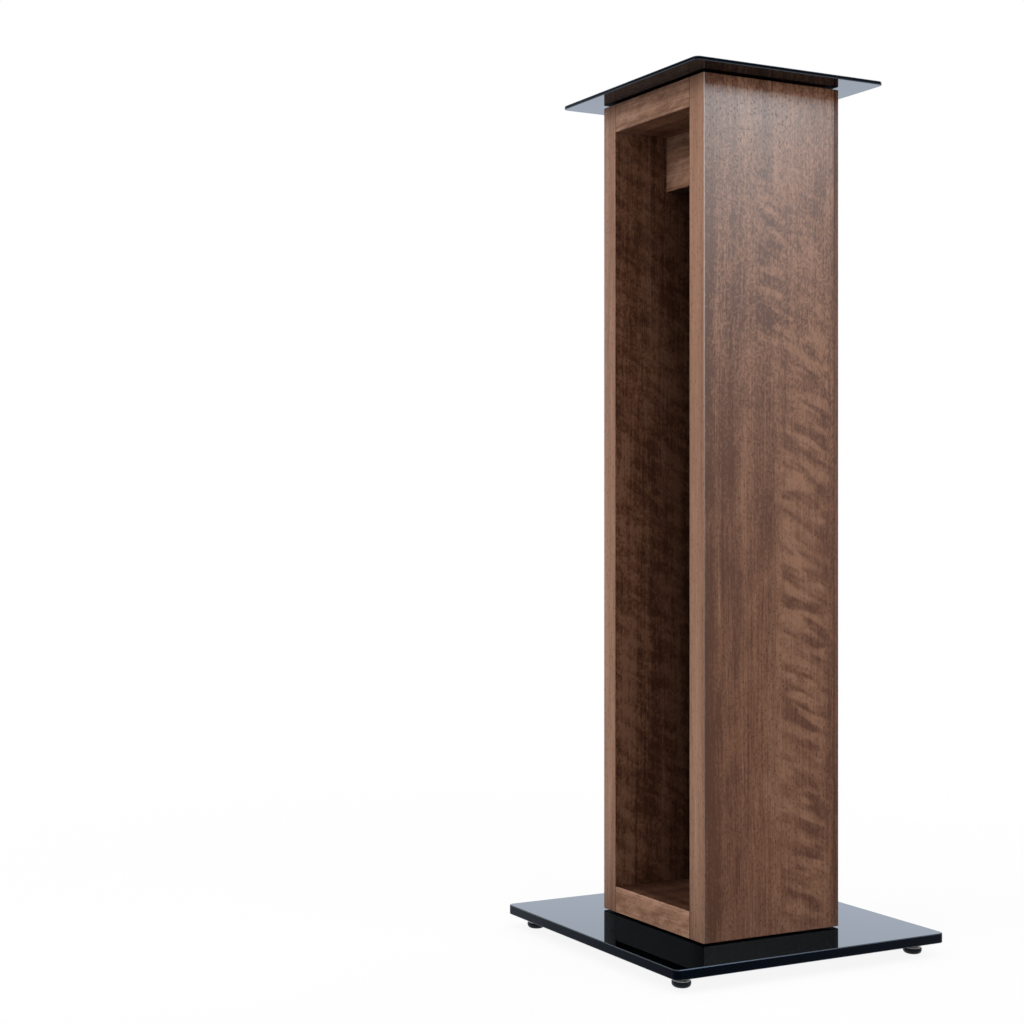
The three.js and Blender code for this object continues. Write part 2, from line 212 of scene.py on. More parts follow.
# A tone of about 0.25 to 0.75 gives the colour.
VENEER = (
    (0.28, (0.099, 0.041, 0.024)),
    (0.5, (0.180, 0.083, 0.048)),
    (0.74, (0.268, 0.136, 0.083)),
)
SOLID = (
    (0.25, (0.165, 0.082, 0.050)),
    (0.5, (0.262, 0.140, 0.090)),
    (0.75, (0.350, 0.205, 0.140)),
)
# The inner veneer's colours: the veneer a little redder, and darker as painted shade inside the
# column.
SHADED_INSIDE = (
    (0.28, (0.082, 0.033, 0.019)),
    (0.5, (0.158, 0.068, 0.038)),
    (0.74, (0.245, 0.120, 0.074)),
)
BEECH = (
    (0.3, (0.50, 0.33, 0.17)),
    (0.5, (0.60, 0.42, 0.23)),
    (0.7, (0.68, 0.50, 0.30)),
)

# The front panel's tone from left to right: light margins, with a dark streak a third of the way
# across and another at three quarters.
FRONT_BANDS = (
    (0.0, 0.55),
    (0.27, 0.53),
    (0.34, 0.41),
    (0.45, 0.49),
    (0.7, 0.5),
    (0.75, 0.41),
    (0.84, 0.54),
    (1.0, 0.53),
)
# A side's tone from rear to front: dark at both edges and light between them.
SIDE_BANDS = (
    (0.0, 0.35),
    (0.14, 0.35),
    (0.25, 0.46),
    (0.45, 0.52),
    (0.88, 0.54),
    (1.0, 0.37),
)
SATIN = 0.44  # roughness of the lacquer
RAW_EDGE = 0.8  # roughness of a cut edge
JOINT_SHADE_OFFSET = 0.9  # how far inside a side panel's face a rail starts to darken


class Wood(Tree):
    """Wood whose grain runs along Z or X. Sizes across and along are millimetres."""

    DRIFT_SIZE = (90.0, 420.0)  # of the slow wander of the grain, across and along
    DRIFT = 14.0  # how far it wanders

    def __init__(self, name, grain="z", seed=0.0):
        super().__init__(name)
        x, y, z = self.split(self.object_mm())
        self.x, self.y, self.z = x, y, z
        self.along = z if grain == "z" else x
        side = (x, y) if grain == "z" else (z, y)
        across, along = self.DRIFT_SIZE
        drift = self.noise(
            self.vector(
                self.mul(self.add(side[0], seed), 1 / across),
                self.mul(self.add(side[1], seed), 1 / across),
                self.mul(self.along, 1 / along),
            ),
            detail=1.0,
        )
        moved = self.mul(self.sub(drift, 0.5), self.DRIFT)
        self.side = [self.add(axis, moved, seed) for axis in side]

    def grain(self, across, along, detail=2.0, rough=0.5, shift=0.0):
        """Noise drawn out along the grain, 0 to 1."""
        one, two = self.side
        vector = self.vector(
            self.mul(self.add(one, shift), 1 / across),
            self.mul(two, 1 / across),
            self.mul(self.along, 1 / along),
        )
        return self.noise(vector, detail, rough)

    def swing(self, across, along, detail=2.0, rough=0.5, shift=0.0):
        """The same about 0."""
        return self.sub(self.grain(across, along, detail, rough, shift), 0.5)

    def stripes(self, broad, fine):
        """The tone of straight grain, about 0.5. broad and fine are its strengths."""
        wide = self.swing(11.0, 520.0)
        middle = self.swing(3.4, 210.0, detail=3.0, rough=0.6, shift=31.0)
        narrow = self.swing(1.2, 55.0, rough=0.6, shift=67.0)
        dashes = self.swing(1.5, 9.0, rough=0.6, shift=93.0)
        return self.add(
            self.mul(wide, 0.6 * broad),
            self.mul(middle, 0.52 * fine),
            self.mul(narrow, 0.5 * fine),
            self.mul(dashes, 0.28),
            0.5,
        )

    def curls(self, size, count):
        """Thin curling lines of light and dark, -1 to 1."""
        field = self.grain(size, size * 1.35, detail=1.0, shift=3.0)
        wave = self.math("SINE", self.mul(field, 2 * math.pi * count))
        steep = self.absolute(wave)
        return self.mul(wave, self.mul(steep, self.mul(steep, steep)))

    def grooves(self, curls):
        """1 on the dark lines of curls and 0 on the light ones."""
        return self.range(curls, 0.0, -1.0)

    def rings(self, across, along, count, detail=1.5, shift=0.0):
        """Thin contour lines, 1 on a line and 0 between lines."""
        field = self.grain(across, along, detail, rough=0.45, shift=shift)
        wave = self.math("SINE", self.mul(field, 2 * math.pi * count))
        return self.range(wave, 0.45, 1.0)

    def pores(self, across, along, radius, share):
        """Short vessels, 1 inside one. share is how many of the cells have one."""
        one, two = self.side
        vector = self.vector(
            self.mul(self.add(one, two), 1 / across), self.mul(self.along, 1 / along), 0.0
        )
        inputs = {"Vector": vector, "Scale": 1.0, "Randomness": 1.0}
        cell = self.node("ShaderNodeTexVoronoi", inputs, voronoi_dimensions="2D")
        chance = self.split(cell.outputs["Color"])[0]
        there = self.range(chance, share, share + 0.05, 1.0, 0.0)
        spot = self.range(cell.outputs["Distance"], radius * 0.45, radius, 1.0, 0.0)
        return self.mul(spot, there)

    def bars(self, across, slope, length, period, shift, detail=1.0):
        """Cross bars of figured grain, -1 to 1, that rise by slope over across."""
        height = self.sub(self.z, self.mul(across, slope))
        vector = self.vector(
            self.mul(self.add(across, shift), 1 / length),
            self.mul(self.add(height, shift * 3.0), 1 / period),
            shift,
        )
        figure = self.noise(vector, detail, 0.5, distortion=0.35)
        return self.range(figure, 0.34, 0.66, -1.0, 1.0)

    def patches(self, across):
        """Where the cross bars are strong (1) and weak (0.45)."""
        return self.range(self.grain(across, 60.0, detail=1.0, shift=77.0), 0.35, 0.6, 0.45, 1.0)

    def soften(self, tone, kept):
        """A tone whose distance from 0.5 is multiplied by kept."""
        return self.add(self.mul(self.sub(tone, 0.5), kept), 0.5)

    def facing_rear(self):
        return self.range(self.normal()[1], 0.45, 0.75)

    def close(self, colour, lines, holes, polish=SATIN):
        """Adds fibre bump and lacquer, and ends the material.

        In reflections the wood's colour is painted darker, and black low down: a painted
        reflection, so that in black glass the stand hardly shows its column.
        """
        fibre = self.grain(0.8, 40.0, rough=0.6, shift=11.0)
        height = self.sub(self.mul(fibre, 0.35), self.add(holes, self.mul(lines, 0.6)))
        normal = self.bump(height, 0.05, 0.8)
        rough = self.add(
            self.mul(fibre, 0.10), self.add(self.mul(holes, 0.2), self.sub(polish, 0.05))
        )
        # Painted reflection: glossy rays see the wood at most a third as bright, and black below
        # 200 mm.
        mirrored = self.node("ShaderNodeLightPath").outputs["Is Glossy Ray"]
        kept = self.range(self.z, 200.0, 550.0, 0.0, 0.36)
        colour = self.tint(colour, self.blend(mirrored, 1.0, kept))
        return self.finish(
            Base_Color=colour, Roughness=rough, Normal=normal, IOR=1.45, Specular_IOR_Level=0.08
        )


def front_material():
    """Figured veneer on the front, the panel's darker edges, and its back with painted shade."""
    wood = Wood("front_veneer", seed=140.0)
    x, z = wood.x, wood.z
    centre = wood.add(x, wood.mul(wood.swing(60.0, 260.0, detail=1.0, shift=5.0), 26.0))
    figured = wood.mul(wood.band(centre, -16.0, 27.0, 7.0), wood.band(z, 110.0, 640.0, 60.0))
    swirling = wood.mul(wood.band(centre, -30.0, 34.0, 10.0), wood.range(z, 420.0, 600.0))
    calm = wood.sub(1.0, wood.mul(wood.most(figured, swirling), 0.72))
    straight = wood.mul(wood.rings(18.0, 420.0, 13.0), wood.mul(calm, 0.9))
    swirls = wood.mul(
        wood.rings(19.0, 42.0, 9.0, detail=2.2, shift=7.0), wood.sub(1.0, calm)
    )
    marks = wood.most(straight, swirls)
    curls = wood.curls(7.5, 4.0)
    holes = wood.pores(3.4, 6.5, radius=0.21, share=0.5)

    bars = wood.mul(wood.bars(x, 0.30, 30.0, 8.2, 17.0), wood.mul(figured, wood.patches(26.0)))
    place = wood.range(centre, -HALF_WIDTH, HALF_WIDTH, smooth=False)
    bands = wood.sub(wood.ramp(place, FRONT_BANDS), 0.5)
    tone = wood.add(
        wood.soften(wood.stripes(0.9, 1.1), calm),
        wood.mul(bars, 0.125),
        wood.mul(bands, 0.85),
        wood.mul(curls, wood.blend(calm, 0.14, 0.07)),
    )
    tone = wood.sub(tone, wood.add(wood.mul(marks, 0.095), wood.mul(holes, 0.24)))
    colour = wood.ramp(tone, VENEER)
    edge = wood.range(wood.absolute(wood.normal()[0]), 0.8, 0.95)
    colour = wood.mix(edge, colour, wood.times(colour, (0.62, 0.52, 0.45)))
    # Painted shade: the panel's back, inside the column, takes the inner colours at 0.62.
    back = wood.range(wood.normal()[1], 0.5, 0.8)
    colour = wood.mix(back, colour, wood.tint(wood.ramp(tone, SHADED_INSIDE), 0.62))
    lines = wood.most(marks, wood.grooves(curls))
    return wood.close(colour, lines, holes, wood.blend(edge, SATIN, RAW_EDGE))


def outer_tone(wood, seed, curls):
    """The tone of a side's outer veneer, without lines and pores."""
    y, z = wood.y, wood.z
    place = wood.range(y, HALF_DEPTH, -HALF_DEPTH, smooth=False)
    upper = wood.range(z, 300.0, 560.0)
    wander = wood.mul(wood.swing(45.0, 210.0, shift=9.0), 0.26)
    bands = wood.sub(wood.ramp(wood.add(place, wander), SIDE_BANDS), 0.5)
    middle = wood.mul(wood.band(place, 0.42, 0.54, 0.07), wood.band(z, 520.0, 600.0, 60.0))
    low = wood.mul(wood.band(place, 0.62, 0.86, 0.10), wood.band(z, 60.0, 500.0, 60.0))
    high = wood.mul(wood.band(place, 0.60, 0.80, 0.12), wood.band(z, 440.0, 640.0, 60.0))
    figured = wood.most(middle, low, wood.mul(high, 0.5))
    bars = wood.mul(
        wood.bars(y, 0.42, 30.0, 9.6, seed + 4.0), wood.mul(figured, wood.patches(30.0))
    )
    cloud = wood.swing(20.0, 42.0, detail=1.0, shift=51.0)
    return wood.add(
        wood.soften(wood.stripes(0.8, 0.85), wood.blend(figured, 1.0, 0.6)),
        wood.mul(bars, 0.18),
        wood.mul(bands, wood.blend(upper, 0.9, 0.7)),
        wood.mul(cloud, wood.blend(upper, 0.30, 0.34)),
        wood.mul(curls, wood.blend(upper, 0.07, 0.17)),
    )


def inner_tone(wood, seed, curls):
    """The tone of a side's inner veneer, mottled, without lines and pores."""
    mottle = wood.bars(wood.y, 0.45, 24.0, 10.0, seed + 60.0, detail=2.0)
    blotch = wood.swing(24.0, 90.0, shift=40.0)
    return wood.add(
        wood.stripes(0.9, 1.1), wood.mul(mottle, 0.11), wood.mul(blotch, 0.75),
        wood.mul(curls, 0.13),
    )


def side_material(name, side, seed):
    """Figured veneer outside and inside, and solid walnut on the rear edge. side is -1 or 1."""
    wood = Wood(name, seed=seed)
    curls = wood.curls(6.0, 4.0)
    straight = wood.mul(wood.rings(18.0, 420.0, 12.0), 0.7)
    holes = wood.pores(3.4, 6.0, radius=0.21, share=0.5)
    marks = wood.add(wood.mul(straight, 0.045), wood.mul(holes, 0.22))

    outside = wood.ramp(wood.sub(outer_tone(wood, seed, curls), marks), VENEER)
    upper = wood.range(wood.z, 300.0, 560.0)
    # Painted highlight: a light strip along the outer face's rear edge, stronger higher up, where
    # the rounded arris catches the sheen.
    painted_edge_highlight = wood.mul(
        wood.range(wood.y, HALF_DEPTH - 1.8, HALF_DEPTH - 0.6), wood.blend(upper, 0.3, 0.85)
    )
    outside = wood.mix(painted_edge_highlight, outside, (0.50, 0.42, 0.38))

    inside = wood.ramp(wood.sub(inner_tone(wood, seed, curls), marks), SHADED_INSIDE)
    # Painted shade: the inner veneer darkens towards the front, deep inside the column.
    inside = wood.tint(inside, wood.range(wood.y, -14.0, 48.0, 0.45, 1.0))

    lipping = wood.ramp(wood.sub(wood.stripes(0.9, 0.8), wood.mul(holes, 0.2)), SOLID)
    joint = wood.range(wood.absolute(wood.x), SIDE_INNER, SIDE_INNER + 0.5, 0.6, 1.0)
    lipping = wood.tint(lipping, joint)

    outward = wood.mul(wood.normal()[0], float(side))
    inward = wood.range(outward, -0.8, -0.5, 1.0, 0.0)
    colour = wood.mix(wood.facing_rear(), wood.mix(inward, outside, inside), lipping)
    return wood.close(colour, wood.most(straight, wood.grooves(curls)), holes)


def rail_material(name, seed, shade, painted_inner_shade=0.0, painted_under_shade=1.0):
    """Solid walnut with the grain along X, its colour times shade, which is painted light and
    shade.

    Faces that don't look to the rear take the inner veneer's colours times the inner shade factor,
    unless it is 0, and the underside is multiplied by the under shade factor: both painted shade.
    """
    wood = Wood(name, "x", seed)
    sweep = wood.swing(18.0, 70.0, shift=23.0)
    waves = wood.noise(
        wood.vector(wood.mul(wood.add(wood.x, wood.z), 0.07), wood.mul(wood.z, 0.16), seed)
    )
    tone = wood.add(
        wood.stripes(0.9, 0.95),
        wood.mul(sweep, 0.6),
        wood.mul(wood.sub(waves, 0.5), 0.7),
        wood.mul(wood.curls(7.5, 3.0), 0.06),
    )
    lines = wood.mul(wood.rings(9.0, 120.0, 6.0), 0.8)
    holes = wood.pores(2.6, 6.5, radius=0.20, share=0.7)
    tone = wood.sub(tone, wood.add(wood.mul(lines, 0.05), wood.mul(holes, 0.22)))
    # Painted light and shade: shade scales each rail's colour to how lit it is.
    colour = wood.tint(wood.ramp(tone, SOLID), shade)
    if painted_inner_shade:
        dark = wood.tint(wood.ramp(tone, SHADED_INSIDE), painted_inner_shade)
        colour = wood.mix(wood.facing_rear(), dark, colour)
    edge = SIDE_INNER - JOINT_SHADE_OFFSET
    joint = wood.range(wood.absolute(wood.x), edge, edge + 0.6, 1.0, 0.35)
    # Painted shade on the underside.
    under = wood.range(wood.normal()[2], -0.9, -0.6, painted_under_shade, 1.0)
    return wood.close(wood.tint(colour, wood.mul(joint, under)), lines, holes)


def beech_material():
    """For the dowels."""
    wood = Wood("beech", "x", 8.0)
    holes = wood.pores(1.2, 3.0, radius=0.18, share=0.6)
    colour = wood.ramp(wood.sub(wood.stripes(0.6, 0.8), wood.mul(holes, 0.1)), BEECH)
    return wood.close(colour, holes, holes, polish=0.6)


# ---------------------------------------------------------------- glass, rubber and metal

GLASS_BODY = (0.0008, 0.0011, 0.0016)
GLASS_DUST = (0.006, 0.007, 0.009)
GLASS_EDGE = (0.0006, 0.0012, 0.0024)
GLASS_ARRIS = (0.040, 0.048, 0.056)
GLASS_EDGE_TINT = (0.16, 0.26, 0.45, 1.0)  # of what the edge mirrors


def glass_material():
    """Black glass: polished faces with a trace of dust, smooth edges and a ground grey arris."""
    tree = Tree("black_glass")
    place = tree.object_mm()
    haze = tree.noise(tree.times(place, (0.02, 0.012, 0.02)), detail=3.0, rough=0.55)
    specks = tree.spots(place, 1.3, detail=1.0)
    grit = tree.spots(place, 2.5, rough=0.7)
    dust = tree.mul(tree.range(specks, 0.70, 0.80), tree.range(haze, 0.45, 0.7))
    level = tree.absolute(tree.normal()[2])
    face = tree.range(level, 0.93, 0.98)
    arris = tree.mul(tree.range(level, 0.25, 0.45), tree.sub(1.0, face))
    polished = tree.add(tree.range(haze, 0.3, 0.7, 0.012, 0.035), tree.mul(dust, 0.12))
    rough = tree.blend(arris, polished, tree.range(grit, 0.3, 0.7, 0.32, 0.5))
    colour = tree.mix(dust, GLASS_BODY, GLASS_DUST)
    colour = tree.mix(tree.sub(1.0, face), colour, GLASS_EDGE)
    colour = tree.mix(arris, colour, GLASS_ARRIS)
    return tree.finish(
        Base_Color=colour,
        Roughness=rough,
        Normal=tree.bump(tree.mul(grit, arris), 0.03, 0.5),
        IOR=1.5,
        Specular_IOR_Level=0.1,
        Specular_Tint=GLASS_EDGE_TINT,
        Coat_Weight=face,
        Coat_IOR=1.58,
        Coat_Roughness=0.015,
    )


def rubber_material(name, colour, grain, rough, shine=0.5):
    """Dull moulded rubber, blotched. grain is the skin's noise per millimetre."""
    tree = Tree(name)
    place = tree.object_mm()
    skin = tree.spots(place, grain, detail=3.0, rough=0.6)
    patches = tree.spots(place, 0.25)
    shade = tree.range(patches, 0.3, 0.7, 0.75, 1.3)
    light = tuple(1.5 * channel for channel in colour)
    return tree.finish(
        Base_Color=tree.tint(tree.mix(skin, colour, light), shade),
        Roughness=tree.add(tree.range(patches, 0.3, 0.7, -0.06, 0.08), rough),
        Normal=tree.bump(skin, 0.03, 0.5),
        IOR=1.5,
        Specular_IOR_Level=shine,
    )


def metal_material(name, dark, light, rough):
    """Turned metal: fine marks round Z, with a little tarnish."""
    tree = Tree(name)
    place = tree.object_mm()
    x, y, z = tree.split(place)
    stretched = tree.vector(tree.mul(x, 0.4), tree.mul(y, 0.4), tree.mul(z, 14.0))
    marks = tree.noise(stretched, rough=0.6)
    stain = tree.spots(place, 0.35, detail=3.0, rough=0.6)
    tone = tree.add(tree.mul(marks, 0.45), tree.mul(stain, 0.55))
    return tree.finish(
        Base_Color=tree.mix(tree.range(tone, 0.32, 0.66), dark, light),
        Roughness=tree.add(tree.mul(marks, 0.16), rough - 0.05),
        Normal=tree.bump(marks, 0.02, 0.5),
        Metallic=1.0,
    )


def nylon_material():
    tree = Tree("nylon")
    place = tree.object_mm()
    cloud = tree.spots(place, 0.5, detail=3.0, rough=0.6)
    skin = tree.spots(place, 4.0)
    return tree.finish(
        Base_Color=tree.mix(tree.range(cloud, 0.3, 0.7), (0.60, 0.58, 0.51), (0.72, 0.70, 0.64)),
        Roughness=tree.range(skin, 0.3, 0.7, 0.38, 0.55),
        Normal=tree.bump(skin, 0.02, 0.4),
    )


# ---------------------------------------------------------------- CAD nodes

WELD_DISTANCE = 2e-6  # metres
SHARP_ANGLE = 31.0  # degrees; the shading of a shallower edge is rounded


def smoothing_group():
    """Welds the facets and rounds the shading of shallow edges."""
    group = bpy.data.node_groups.new("weld_and_smooth", "GeometryNodeTree")
    group.interface.new_socket("Geometry", in_out="INPUT", socket_type="NodeSocketGeometry")
    group.interface.new_socket("Geometry", in_out="OUTPUT", socket_type="NodeSocketGeometry")
    nodes, links = group.nodes, group.links
    start, end = nodes.new("NodeGroupInput"), nodes.new("NodeGroupOutput")
    weld = nodes.new("GeometryNodeMergeByDistance")
    weld.inputs["Distance"].default_value = WELD_DISTANCE
    faces = nodes.new("GeometryNodeSetShadeSmooth")
    angle = nodes.new("GeometryNodeInputMeshEdgeAngle")
    shallow = nodes.new("FunctionNodeCompare")
    shallow.operation = "LESS_THAN"
    shallow.inputs[1].default_value = math.radians(SHARP_ANGLE)
    edges = nodes.new("GeometryNodeSetShadeSmooth")
    edges.domain = "EDGE"
    links.new(start.outputs[0], weld.inputs[0])
    links.new(weld.outputs[0], faces.inputs["Geometry"])
    links.new(faces.outputs[0], edges.inputs["Geometry"])
    links.new(angle.outputs["Unsigned Angle"], shallow.inputs[0])
    links.new(shallow.outputs[0], edges.inputs["Shade Smooth"])
    links.new(edges.outputs[0], end.inputs[0])
    return group


def dress_nodes(materials):
    """Smooths each CAD node and gives it the material with the longest key that it starts with."""
    group = smoothing_group()
    for name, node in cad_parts.items():
        attributes = node.data.attributes
        for attribute in ("custom_normal", "sharp_edge", "sharp_face"):
            if attribute in attributes:
                attributes.remove(attributes[attribute])
        modifier = node.modifiers.new("weld_and_smooth", "NODES")
        modifier.node_group = group
        start = max((key for key in materials if name.startswith(key)), key=len)
        node.material_slots[0].material = materials[start]


# ---------------------------------------------------------------- feet

LATHE_STEPS = 72
SMOOTH_ANGLE = 32.0  # degrees
THREAD_SMOOTH_ANGLE = 60.0
THREAD_PITCH = 1.0
THREAD_DEPTH = 0.5
THREAD_STEPS = 40  # round the stud
THREAD_ROWS = 8  # per turn
HOLE_GAP = 0.3  # round the stud in cap and pad
STUD_GAP = 0.05  # under the stud


def piece_from(mesh, name, material, body, node, angle=SMOOTH_ANGLE):
    """Ends a mesh as a piece that rides on a body and replaces a CAD node."""
    bmesh.ops.recalc_face_normals(mesh, faces=mesh.faces[:])
    data = bpy.data.meshes.new(name)
    mesh.to_mesh(data)
    mesh.free()
    data.shade_smooth()
    data.set_sharp_from_angle(angle=math.radians(angle))
    data.materials.append(material)
    made = bpy.data.objects.new(name, data)
    bpy.context.scene.collection.objects.link(made)
    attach(made, body)
    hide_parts(node)
    return made


def ring_vertex(mesh, centre, radius, height, turn):
    """A vertex at a radius and height in millimetres; turn is 0 to 1 round the axis."""
    angle = 2 * math.pi * turn
    x = centre.x + radius * MM * math.cos(angle)
    y = centre.y + radius * MM * math.sin(angle)
    return mesh.verts.new((x, y, height * MM))


def lathe(name, profile, material, centre, body, node):
    """A piece turned about a vertical axis from (radius, height) points in millimetres."""
    mesh = bmesh.new()
    rings = []
    for radius, height in profile:
        count = 1 if radius == 0 else LATHE_STEPS
        ring = [ring_vertex(mesh, centre, radius, height, step / count) for step in range(count)]
        rings.append(ring)
    if profile[0][0] != 0:
        rings.append(rings[0])
    for lower, upper in zip(rings, rings[1:]):
        for step in range(LATHE_STEPS):
            after = (step + 1) % LATHE_STEPS
            if len(lower) == 1:
                mesh.faces.new((lower[0], upper[after], upper[step]))
            elif len(upper) == 1:
                mesh.faces.new((lower[step], lower[after], upper[0]))
            else:
                mesh.faces.new((lower[step], lower[after], upper[after], upper[step]))
    return piece_from(mesh, name, material, body, node)


def arc(x, y, radius, start, end, steps):
    """Points of an arc; the angles are in degrees."""
    points = []
    for step in range(steps + 1):
        angle = math.radians(start + (end - start) * step / steps)
        points.append((x + radius * math.cos(angle), y + radius * math.sin(angle)))
    return points


def threaded_stud(name, low, high, radius, material, centre, body, node):
    """A stud with a helical 60 degree thread that fades out at both ends, in millimetres."""
    mesh = bmesh.new()
    rows = int(round((high - low) / THREAD_PITCH * THREAD_ROWS))
    rings = []
    for row in range(rows + 1):
        height = low + (high - low) * row / rows
        end = min(height - low, high - height)
        ring = []
        for step in range(THREAD_STEPS):
            turn = step / THREAD_STEPS
            phase = (height / THREAD_PITCH - turn) % 1.0
            crest = abs(2 * phase - 1)
            cut = THREAD_DEPTH * min(1.0, max(0.0, 1.35 * crest - 0.15))
            at = min(radius - cut, radius - THREAD_DEPTH + end)
            ring.append(ring_vertex(mesh, centre, at, height, turn))
        rings.append(ring)
    for lower, upper in zip(rings, rings[1:]):
        for step in range(THREAD_STEPS):
            after = (step + 1) % THREAD_STEPS
            mesh.faces.new((lower[step], lower[after], upper[after], upper[step]))
    mesh.faces.new(rings[0][::-1])
    mesh.faces.new(rings[-1])
    return piece_from(mesh, name, material, body, node, THREAD_SMOOTH_ANGLE)


def extents(node, centre):
    """The low and high ends and the radius of a round CAD node, in millimetres."""
    low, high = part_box(node)
    return low.z / MM, high.z / MM, (high.x - centre.x) / MM


def build_foot(where, rubber, steel):
    """Pad, cap and stud of one foot, in place of the CAD's plainer ones."""
    body = f"foot_{where}"
    low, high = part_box(f"foot_pad_{where}")
    centre = (low + high) / 2
    outer, top = (high.x - low.x) / 2 / MM, high.z / MM
    cap_low, cap_high, cap_rim = extents(f"foot_cap_{where}", centre)
    stud_low, stud_high, stud = extents(f"foot_stud_{where}", centre)
    hole = stud + HOLE_GAP

    sole, shoulder = 3.2, 0.5  # radii of the pad's lower and upper edges
    groove = 0.18
    pad = [(0, 0.5), (2.4, 0.5), (2.9, 0.0)]
    pad += arc(outer - sole, sole, sole, -90, 0, 12)
    pad += [
        (outer, top - 1.4),
        (outer - groove, top - 1.25),
        (outer - groove, top - 1.0),
        (outer, top - 0.85),
    ]
    pad += arc(outer - shoulder, top - shoulder, shoulder, 0, 90, 5)
    pad += [(hole, top), (hole, stud_low - STUD_GAP), (0, stud_low - STUD_GAP)]
    lathe(f"pad_{where}", pad, rubber, centre, body, f"foot_pad_{where}")

    rim, crown, bevel = 0.5, 4.5, 0.15
    cap = [
        (hole, cap_low),
        (cap_rim - bevel, cap_low),
        (cap_rim, cap_low + bevel),
        (cap_rim, cap_low + rim - bevel),
        (cap_rim - bevel, cap_low + rim),
        (cap_rim - 0.9, cap_low + rim),
        (crown + 0.5, cap_high - 0.12),
        (crown + 0.1, cap_high),
        (hole, cap_high),
    ]
    lathe(f"cap_{where}", cap, steel, centre, body, f"foot_cap_{where}")
    threaded_stud(
        f"stud_{where}", stud_low, stud_high, stud, steel, centre, body,
        f"foot_stud_{where}",
    )


# ---------------------------------------------------------------- stage

WHITE = (1.0, 1.0, 1.0)
REFLECTED = (0.765, 0.86, 1.0)  # the room as glass and metal show it
AMBIENT = 0.46  # the world's strength on matt surfaces
FLOOR_RADIUS = 30.0
FLOOR_DROP = 0.0002  # under the feet

# name: place, target, size, watts, colour
LAMPS = {
    "overhead": ((-0.45, 0.30, 1.9), (0, 0, 0.5), (1.2, 1.2), 10.0, WHITE),
    "side": ((-0.62, -0.18, 0.80), (-0.07, 0, 0.6), (0.3, 0.3), 1.65, WHITE),
    "sheen": ((-0.95, -0.5, 1.28), (-0.07, 0.0, 0.66), (0.5, 0.46), 195.0, (0.95, 0.98, 1.0)),
    "rear": ((0.05, 0.95, 1.1), (0, 0, 0.5), (0.6, 0.6), 6.3, WHITE),
    "front": ((0.35, -1.2, 1.05), (0, 0, 0.5), (0.8, 0.8), 7.6, WHITE),
    "right": ((1.9, 0.3, 1.1), (0, 0, 0.45), (1.1, 1.4), 10.0, WHITE),
}


def build_floor():
    """A floor that camera, mirrors and glass see as bright, with a trace of the stand's shadow
    near it, and that lights the stand as plain matt white.
    """
    tree = Tree("floor")
    place = tree.object_mm()
    distance = tree.node("ShaderNodeVectorMath", {0: place}, operation="LENGTH").outputs["Value"]
    mottle = tree.spots(place, 0.01, detail=3.0)
    pale = tree.mix(mottle, (0.80, 0.80, 0.80), (0.82, 0.82, 0.82))
    matt = tree.node("ShaderNodeBsdfDiffuse", {0: pale}).outputs[0]
    path = tree.node("ShaderNodeLightPath").outputs
    glow = tree.mix(path["Is Camera Ray"], REFLECTED, WHITE)
    glow = tree.node("ShaderNodeEmission", {0: glow}).outputs[0]
    bright = tree.range(distance, 350.0, 1100.0, 0.9, 1.0)
    shown = tree.node("ShaderNodeMixShader", {0: bright, 1: matt, 2: glow}).outputs[0]
    seen = tree.most(path["Is Camera Ray"], path["Is Glossy Ray"], path["Is Transmission Ray"])
    mixed = tree.node("ShaderNodeMixShader", {0: seen, 1: matt, 2: shown}).outputs[0]
    tree.node("ShaderNodeOutputMaterial", {0: mixed})
    mesh = bmesh.new()
    bmesh.ops.create_circle(mesh, cap_ends=True, radius=FLOOR_RADIUS, segments=64)
    data = bpy.data.meshes.new("floor")
    mesh.to_mesh(data)
    mesh.free()
    data.materials.append(tree.material)
    floor = bpy.data.objects.new("floor", data)
    floor.location.z = -FLOOR_DROP
    bpy.context.scene.collection.objects.link(floor)


def build_world():
    """White to the camera, the room's colour to mirrors and glass, and ambient light elsewhere."""
    world = bpy.data.worlds.new("studio")
    bpy.context.scene.world = world
    world.use_nodes = True
    nodes, links = world.node_tree.nodes, world.node_tree.links
    nodes.clear()
    path = nodes.new("ShaderNodeLightPath")
    shiny = nodes.new("ShaderNodeMath")
    shiny.operation = "MAXIMUM"
    links.new(path.outputs["Is Glossy Ray"], shiny.inputs[0])
    links.new(path.outputs["Is Transmission Ray"], shiny.inputs[1])
    layers = []
    for colour, strength in ((WHITE, AMBIENT), (REFLECTED, 1.0), (WHITE, 1.0)):
        background = nodes.new("ShaderNodeBackground")
        background.inputs[0].default_value = (*colour, 1.0)
        background.inputs[1].default_value = strength
        layers.append(background.outputs[0])
    shown, mirrored, seen = layers
    for factor, layer in ((shiny.outputs[0], mirrored), (path.outputs["Is Camera Ray"], seen)):
        mix = nodes.new("ShaderNodeMixShader")
        links.new(factor, mix.inputs[0])
        links.new(shown, mix.inputs[1])
        links.new(layer, mix.inputs[2])
        shown = mix.outputs[0]
    links.new(shown, nodes.new("ShaderNodeOutputWorld").inputs[0])


def aim(thing, direction):
    """Turns a lamp or camera to look along a direction."""
    thing.rotation_mode = "QUATERNION"
    thing.rotation_quaternion = direction.to_track_quat("-Z", "Y")


def build_lights():
    lamps = {}
    for name, (place, target, size, power, colour) in LAMPS.items():
        data = bpy.data.lights.new(name, "AREA")
        data.shape = "RECTANGLE"
        data.size, data.size_y = size
        data.energy = power
        data.color = colour
        lamps[name] = bpy.data.objects.new(name, data)
        lamps[name].location = place
        aim(lamps[name], Vector(target) - Vector(place))
        lamps[name].visible_camera = False
        bpy.context.scene.collection.objects.link(lamps[name])
    lamps["side"].visible_glossy = False
    lamps["sheen"].visible_diffuse = False


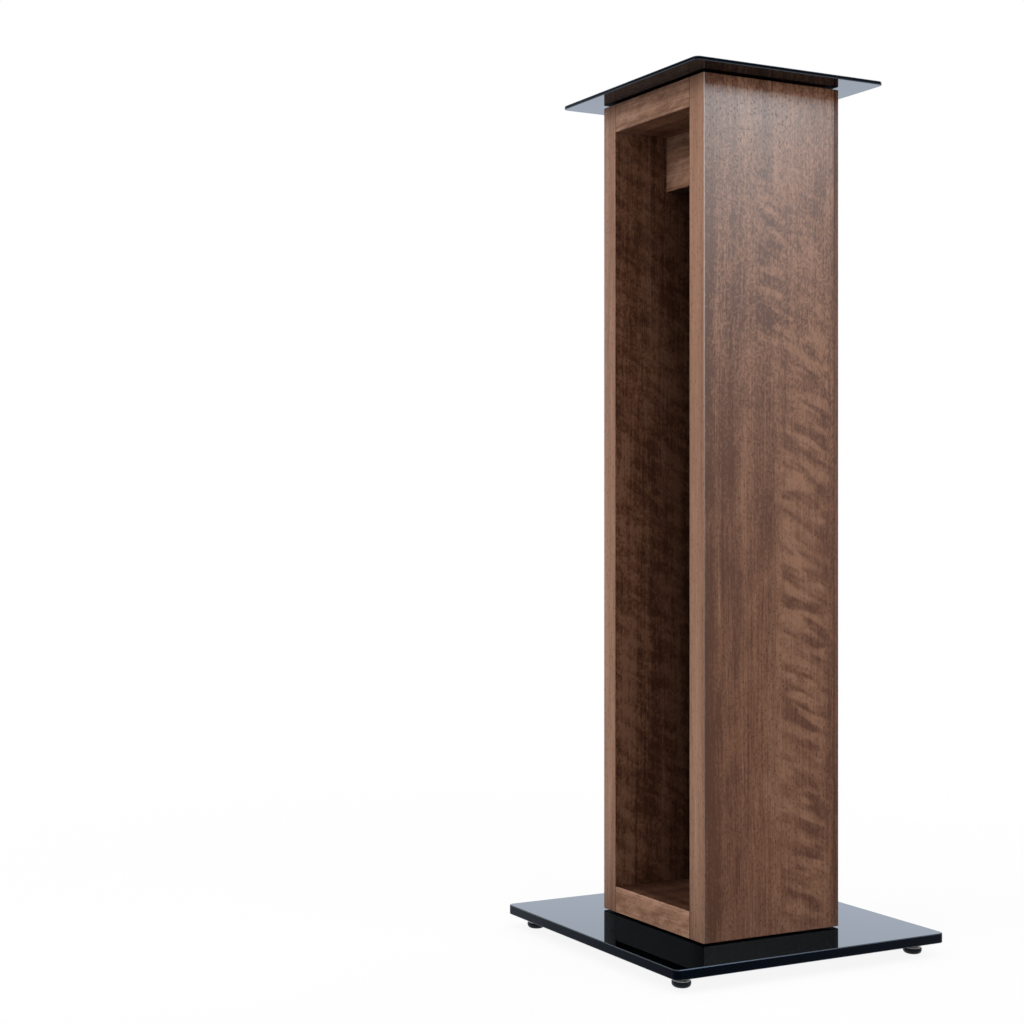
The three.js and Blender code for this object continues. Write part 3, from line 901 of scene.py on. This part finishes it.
def build_camera():
    """Level, so that uprights stay parallel, with the lens shifted to frame the stand."""
    data = bpy.data.cameras.new("camera")
    data.sensor_width = 36.0
    data.lens = 60.538
    data.shift_x, data.shift_y = 0.15311, 0.00061
    data.clip_start, data.clip_end = 0.05, 80.0
    camera = bpy.data.objects.new("camera", data)
    camera.location = (-1.17874, 0.91218, 0.36171)
    aim(camera, Vector((0.900169, -0.435542, 0.0)))
    bpy.context.scene.collection.objects.link(camera)
    bpy.context.scene.camera = camera


# ---------------------------------------------------------------- the scene

build_camera()
build_world()
build_lights()
build_floor()

steel = metal_material("zinc_steel", (0.26, 0.25, 0.24), (0.46, 0.45, 0.43), rough=0.32)
foot_steel = metal_material("nickel_steel", (0.50, 0.455, 0.40), (0.78, 0.72, 0.64), rough=0.34)
black_glass = glass_material()
black_rubber = rubber_material("black_rubber", (0.010, 0.010, 0.011), grain=3.0, rough=0.55)
foot_rubber = rubber_material(
    "foot_rubber", (0.003, 0.003, 0.004), grain=2.4, rough=0.3, shine=0.2
)
dress_nodes({
    "front_panel": front_material(),
    "side_panel_left": side_material("side_veneer_left", -1, seed=0.0),
    "side_panel_right": side_material("side_veneer_right", 1, seed=57.0),
    # Painted light and shade on the rails: shade lightens the bottom board and darkens the cross
    # rail; the inner and under factors darken faces inside the column.
    "top_board": rail_material("top_board_walnut", 12.0, shade=0.98, painted_inner_shade=0.85),
    "bottom_board": rail_material("bottom_board_walnut", 83.0, shade=1.54, painted_inner_shade=0.5),
    "cross_rail": rail_material("cross_rail_walnut", 45.0, shade=0.86, painted_under_shade=0.25),
    "dowel_": beech_material(),
    "top_plate": black_glass,
    "base_plate": black_glass,
    "top_bumper_": black_rubber,
    "base_spacer_": black_rubber,
    "base_bush_": nylon_material(),
    "base_washer_": steel,
    "base_bolt_": steel,
    "base_insert_": metal_material("brass", (0.33, 0.20, 0.05), (0.52, 0.34, 0.10), rough=0.3),
    "foot_pad_": foot_rubber,
    "foot_cap_": foot_steel,
    "foot_stud_": foot_steel,
    "foot_boss_": foot_steel,
})
for corner_name in CORNERS:
    build_foot(corner_name, foot_rubber, foot_steel)

bpy.context.scene.view_settings.view_transform = "Standard"

bpy.context.view_layer.update()
